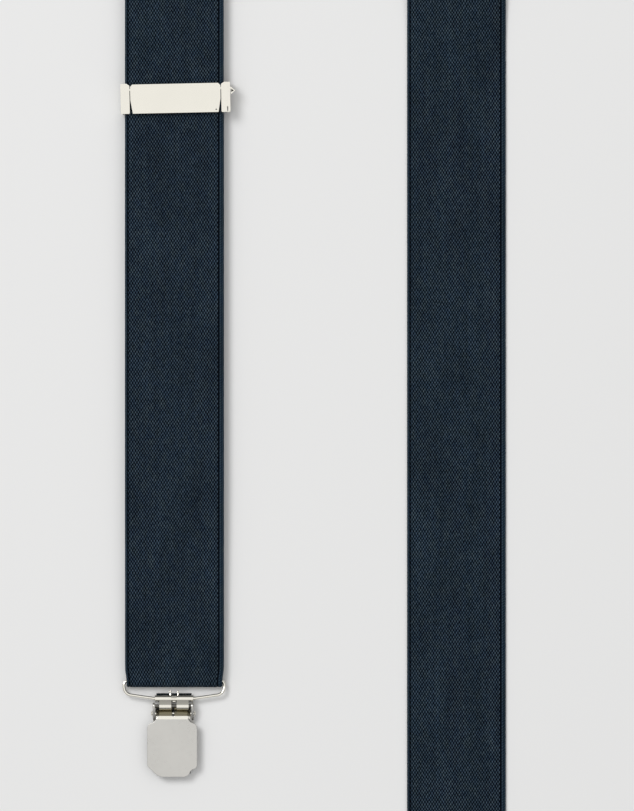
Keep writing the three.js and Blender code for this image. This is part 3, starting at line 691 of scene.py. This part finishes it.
JAW_PIN, LEVER_PIN, BARREL = (22.4, 2.0), (25.15, 3.7), (27.8, 3.0)
WIRE_R, LEVER_DX = 0.54, 0.3
for side in ("left", "right", "back"):
    bodies = {"bail": f"{side}_bail_body", "lever": f"{side}_lever_body", "front_plate": f"{side}_jaw_body", "front_pad": f"{side}_jaw_body",
              "back_plate": f"{side}_clip", "back_pad": f"{side}_clip", "jaw_pin": f"{side}_clip", "lever_pin": f"{side}_clip", "spring": f"{side}_clip"}
    for part, mat, w, seg in (("front_plate", M_SAT, 0.13, 3), ("back_plate", M_SAT, 0.14, 2), ("lever", M_POL, 0.10, 2),
                              ("jaw_pin", M_POL, 0.05, 1), ("lever_pin", M_POL, 0.08, 2), ("spring", M_SPR, 0.05, 1),
                              ("front_pad", M_PLA, 0.10, 2), ("back_pad", M_PLA, 0.10, 2)):
        o = refined(f"{side}_{part}", f"{side}_{part}_shell", M_PIN if part == "lever_pin" else mat, w, seg, clamp=part != "front_plate")
        if part == "front_plate":
            # painted shade: the folded tail behind the face, recessed between the ears and under the lever, gets a dark
            # olive plating that stands in for the shade and dark reflections there
            y_tail = clip_point(side, 0, 21.75, 0)[1]
            up, y_ease = (-1 if side == "back" else 1), pt(0, clip_point(side, 0, 20.4, 0)[1], 0)[1]
            paint(o, M_PAINTED_SHADE, lambda c, n_: (pt(0, y_tail, 0)[1] < c.y) and n_.z * up < 0.97)
            # painted highlight: the eased top edge takes the bright polished nickel so it shows as a bright line
            paint(o, M_POL, lambda c, n_: y_ease < c.y < pt(0, y_tail, 0)[1] and 0.90 < n_.z * up < 0.9995)
        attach(o, bodies[part])
        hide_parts(f"{side}_{part}")
    foot = bpy.data.meshes.new(f"{side}_pad_foot")
    bm = bmesh.new()
    outline = [(-5.9, 22.95), (5.9, 22.95), (6.05, 23.3), (6.05, 24.5), (5.6, 24.9), (-5.6, 24.9), (-6.05, 24.5), (-6.05, 23.3)]
    for zz in (0.12, 0.68):
        vs = [bm.verts.new(pt(*clip_point(side, x, y, zz))) for x, y in outline]
        bm.faces.new(vs)
    bm.verts.ensure_lookup_table()
    for i in range(8):
        bm.faces.new((bm.verts[i], bm.verts[(i + 1) % 8], bm.verts[8 + (i + 1) % 8], bm.verts[8 + i]))
    bmesh.ops.recalc_face_normals(bm, faces=bm.faces)
    bmesh.ops.bevel(bm, geom=list(bm.edges), offset=0.00012, segments=2, affect="EDGES", profile=0.5)
    bm.to_mesh(foot)
    bm.free()
    shade(foot, 50)
    foot = link_obj(f"{side}_pad_foot", foot, M_PLA)
    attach(foot, f"{side}_clip")
    yb, zb, yl, zl = BAIL_Y, TURN_Z, BARREL[0], BARREL[1]
    mx = {"left": 1, "right": -1, "back": 1}[side] * LEVER_DX
    half = [(0.25, yb, zb), (6, yb, zb), (12, yb, zb), (16.2, yb + 0.02, zb), (17.0, yb + 0.02, zb), (17.5, yb - 0.3, zb + 0.02),
            (17.78, yb - 1.1, zb + 0.1), (17.76, yb - 2.2, zb + 0.22), (17.4, yb - 3.4, zb + 0.4), (16.7, yb - 4.25, zb + 0.55),
            (15.8, yb - 4.7, zb + 0.65), (14.2, yb - 4.95, zb + 0.72), (10.5, yl + 0.46, zl - 0.08), (8.2, yl + 0.16, zl - 0.02),
            (7.3, yl + 0.03, zl), (6.4, yl, zl), (3, yl, zl), (0, yl, zl)]
    path = [(x + mx, y, z) for x, y, z in half] + [(-x + mx, y, z) for x, y, z in half[:-1][::-1]]
    w = tube(f"{side}_bail_wire", [clip_point(side, *p) for p in catmull(path, 8)], WIRE_R, 18, M_POL)
    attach(w, bodies["bail"])
    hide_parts(f"{side}_bail")

for side in ("left", "right"):
    for part, body in (("adjuster_frame", f"{side}_adjuster"), ("adjuster_cover", f"{side}_cover")):
        o = refined(f"{side}_{part}", f"{side}_{part}_shell", M_POL, 0.10 if part == "adjuster_cover" else 0.14, 3)
        if part == "adjuster_cover":
            s, th = (-1, ADJ_TILT) if side == "left" else (1, -ADJ_TILT)
            lx, ly = -s * 20.1, 3.2 - 0.95
            c0 = Vector(pt(s * (FRONT_X - 0.45) + lx * math.cos(th) - ly * math.sin(th), ADJ_Y + lx * math.sin(th) + ly * math.cos(th), 6.7))
            # painted shade: the sloped walls of the small pit in the cover are given near-black plating that stands in
            # for the shade inside it
            paint(o, M_PIT_SHADE, lambda c, n_: (c - c0).length < 0.00062 and 0.02 < n_.z < 0.9)
        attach(o, body)
        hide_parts(f"{side}_{part}")

# ------------------------------------------------------------------ sewing
def stitches(name, lines, z, length=2.1, gap=0.75, r=0.17):
    """Rows of separate raised stitches along polylines (layout millimetres), lying on the surface at height z."""
    verts, faces, uvs = [], [], []
    for line in lines:
        q = np.array(line, float)
        seg = np.linalg.norm(np.diff(q, axis=0), axis=1)
        cum = np.concatenate([[0], np.cumsum(seg)])
        count = max(1, int(round((cum[-1] + gap) / (length + gap))))
        pitch = (cum[-1] + gap) / count
        for i in range(count):
            a, b = i * pitch, i * pitch + pitch - gap
            rings = []
            for f in (0.0, 0.06, 0.18, 0.36, 0.5, 0.64, 0.82, 0.94, 1.0):
                sft = a + (b - a) * f
                c = np.array([np.interp(sft, cum, q[:, 0]), np.interp(sft, cum, q[:, 1])])
                lift = math.sin(math.pi * f) ** 0.5
                rings.append((c, 0.25 + 0.75 * lift, lift, sft))
            t = rings[-1][0] - rings[0][0]
            t /= np.linalg.norm(t)
            nn = np.array([-t[1], t[0]])
            base = len(verts)
            for c, sc, lift, sft in rings:
                for k in range(8):
                    ang = 2 * math.pi * k / 8
                    w = c + nn * (r * sc * math.cos(ang))
                    verts.append(pt(w[0], w[1], z + r * (1.15 * lift - 0.55) + r * sc * 0.8 * math.sin(ang)))
                    uvs.append((k / 8, sft))
            nr = len(rings)
            for j in range(nr - 1):
                for k in range(8):
                    k2 = (k + 1) % 8
                    faces.append((base + j * 8 + k, base + (j + 1) * 8 + k, base + (j + 1) * 8 + k2, base + j * 8 + k2))
            faces.append(tuple(base + k for k in range(8)))
            faces.append(tuple(base + (nr - 1) * 8 + k for k in range(7, -1, -1)))
    mesh = bpy.data.meshes.new(name)
    mesh.from_pydata(verts, [], faces)
    layer = mesh.uv_layers.new(name="weave")
    idx = np.zeros(len(mesh.loops), np.int32)
    mesh.loops.foreach_get("vertex_index", idx)
    layer.data.foreach_set("uv", np.array(uvs, np.float32)[idx].ravel())
    bm = bmesh.new()
    bm.from_mesh(mesh)
    bmesh.ops.recalc_face_normals(bm, faces=bm.faces)
    bm.to_mesh(mesh)
    bm.free()
    shade(mesh, 60)
    return link_obj(name, mesh, M_THR)


def inset(poly, d):
    """A closed outline moved inwards by d, with its corners mitred."""
    q = np.array(poly, float)
    if np.sum(q[:, 0] * np.roll(q[:, 1], -1) - np.roll(q[:, 0], -1) * q[:, 1]) < 0:
        q = q[::-1]
    e1, e2 = q - np.roll(q, 1, axis=0), np.roll(q, -1, axis=0) - q
    e1 /= np.linalg.norm(e1, axis=1)[:, None]
    e2 /= np.linalg.norm(e2, axis=1)[:, None]
    n1, n2 = np.stack([-e1[:, 1], e1[:, 0]], 1), np.stack([-e2[:, 1], e2[:, 0]], 1)
    m = n1 + n2
    m /= np.maximum(np.sum(m * n1, axis=1), 0.55)[:, None]
    out = q + m * d
    return np.vstack([out, out[:1]])


YOKE_R = [(19.2, 286), (20.0, 288), (20.6, 295), (23.5, 299.2), (33.5, 301.2), (36.6, 303.6), (38.4, 307), (47.3, 331.4),
          (46.4, 334.4), (13.4, 346.8), (10.8, 346.0), (1.6, 334.6)]
YOKE = YOKE_R + [(-x, y) for x, y in YOKE_R[::-1]]
sewn = stitches("yoke_stitching", [inset(YOKE, 1.9), inset(YOKE, 3.9)], 4.2)
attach(sewn, "root_webbing")
sewn = stitches("back_loop_stitching", [[(-14.8, -24.2), (14.8, -24.2)], [(14.8, -24.9), (14.8, -32.0)], [(14.8, -32.7), (-14.8, -32.7)],
                                        [(-14.8, -32.0), (-14.8, -24.9)]], LOW_Z + WEB_T + 0.31 + 0.585)
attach(sewn, "back_end")

# ------------------------------------------------------------------ yoke
for part in ("yoke_outer_patch", "yoke_inner_patch"):
    o = refined(part, part + "_leather", M_LEA, 0.35, 4, 20)
    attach(o, "root_webbing")
    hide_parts(part)

# ------------------------------------------------------------------ floor, light, world
bpy.ops.mesh.primitive_plane_add(size=8, location=(0, 0, -0.0002))
floor = bpy.context.object
floor.name = "floor"
fm = Nodes("floor")
fm.set(Roughness=0.9, Specular_IOR_Level=0.2)
fm.b.inputs["Base Color"].default_value = (0.825, 0.825, 0.825, 1)
floor.data.materials.append(fm.m)


def area(name, loc, target, size, energy, color=(1, 1, 1)):
    d_ = bpy.data.lights.new(name, "AREA")
    d_.shape = "DISK"
    d_.size = size
    d_.energy = energy
    d_.color = color
    o = bpy.data.objects.new(name, d_)
    bpy.context.scene.collection.objects.link(o)
    o.location = loc
    o.rotation_euler = (Vector(target) - Vector(loc)).to_track_quat("-Z", "Y").to_euler()
    return o


area("key", (-1.28, 0.95, 2.42), (-0.05, -0.1, 0), 1.2, 33)
world = bpy.data.worlds.new("world")
bpy.context.scene.world = world
world.use_nodes = True
wt = world.node_tree
bg = wt.nodes["Background"]
tc = wt.nodes.new("ShaderNodeTexCoord")
sep = wt.nodes.new("ShaderNodeSeparateXYZ")
wt.links.new(tc.outputs["Generated"], sep.inputs[0])
rmp = wt.nodes.new("ShaderNodeValToRGB")
rmp.color_ramp.elements[0].position = 0.0
rmp.color_ramp.elements[0].color = (0.06, 0.06, 0.058, 1)
rmp.color_ramp.elements[1].position = 0.85
rmp.color_ramp.elements[1].color = (0.98, 0.98, 0.975, 1)
mid = rmp.color_ramp.elements.new(0.50)
mid.color = (0.30, 0.30, 0.295, 1)
wt.links.new(sep.outputs[2], rmp.inputs[0])
wt.links.new(rmp.outputs[0], bg.inputs[0])
bg.inputs[1].default_value = 1.0
